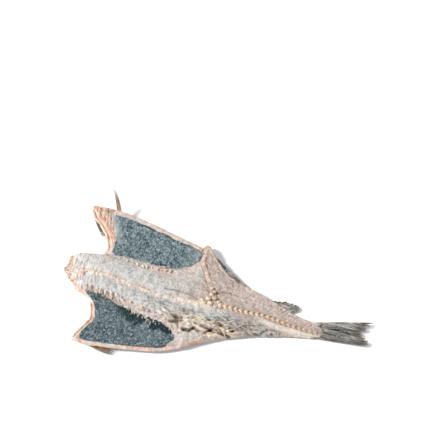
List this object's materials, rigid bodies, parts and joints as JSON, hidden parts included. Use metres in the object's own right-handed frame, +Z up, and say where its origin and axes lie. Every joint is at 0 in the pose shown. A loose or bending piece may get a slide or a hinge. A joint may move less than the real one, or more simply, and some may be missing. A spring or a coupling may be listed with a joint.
{
  "type": "split salt cod",
  "caption": "Headless cod opened flat from the belly, salted and dried stiff, lying on its skin with the flesh, belly linings, collar bones, tail backbone and fins showing.",
  "frame": {"origin": "middle of the whole fish's bounding box in plan, at the height of the surface that it lies on", "axes": "+X runs along the fish towards the tail, +Y towards the fish's left side, +Z up, away from the surface, out of the flesh side"},
  "size_m": [0.702, 0.3784, 0.0611],
  "materials": {
    "salted_flesh": "dry, matt and grainy, with a thin crust of salt; olive-grey mottled skin underneath",
    "backbone": "dry yellowish bone with flecks of flesh",
    "belly_membrane": "thin dark slate-blue membrane dusted with fine salt",
    "collar_bone": "pale bone with dried pink flesh along it",
    "fin": "dry translucent fin rays, brown-grey, darker at the frayed ends"
  },
  "bodies": {
    "root": {"fish_body": "salted_flesh", "tail_backbone": "backbone", "belly_lining_left": "belly_membrane", "belly_lining_right": "belly_membrane", "collar_bone_left": "collar_bone", "collar_bone_right": "collar_bone", "tail_fin": "fin", "first_anal_fin": "fin", "second_anal_fin": "fin", "first_dorsal_fin": "fin", "second_dorsal_fin": "fin", "third_dorsal_fin": "fin", "pectoral_fin_left": "fin", "pectoral_fin_right": "fin", "pelvic_fin_left": "fin", "pelvic_fin_right": "fin"}
  },
  "joints": []
}
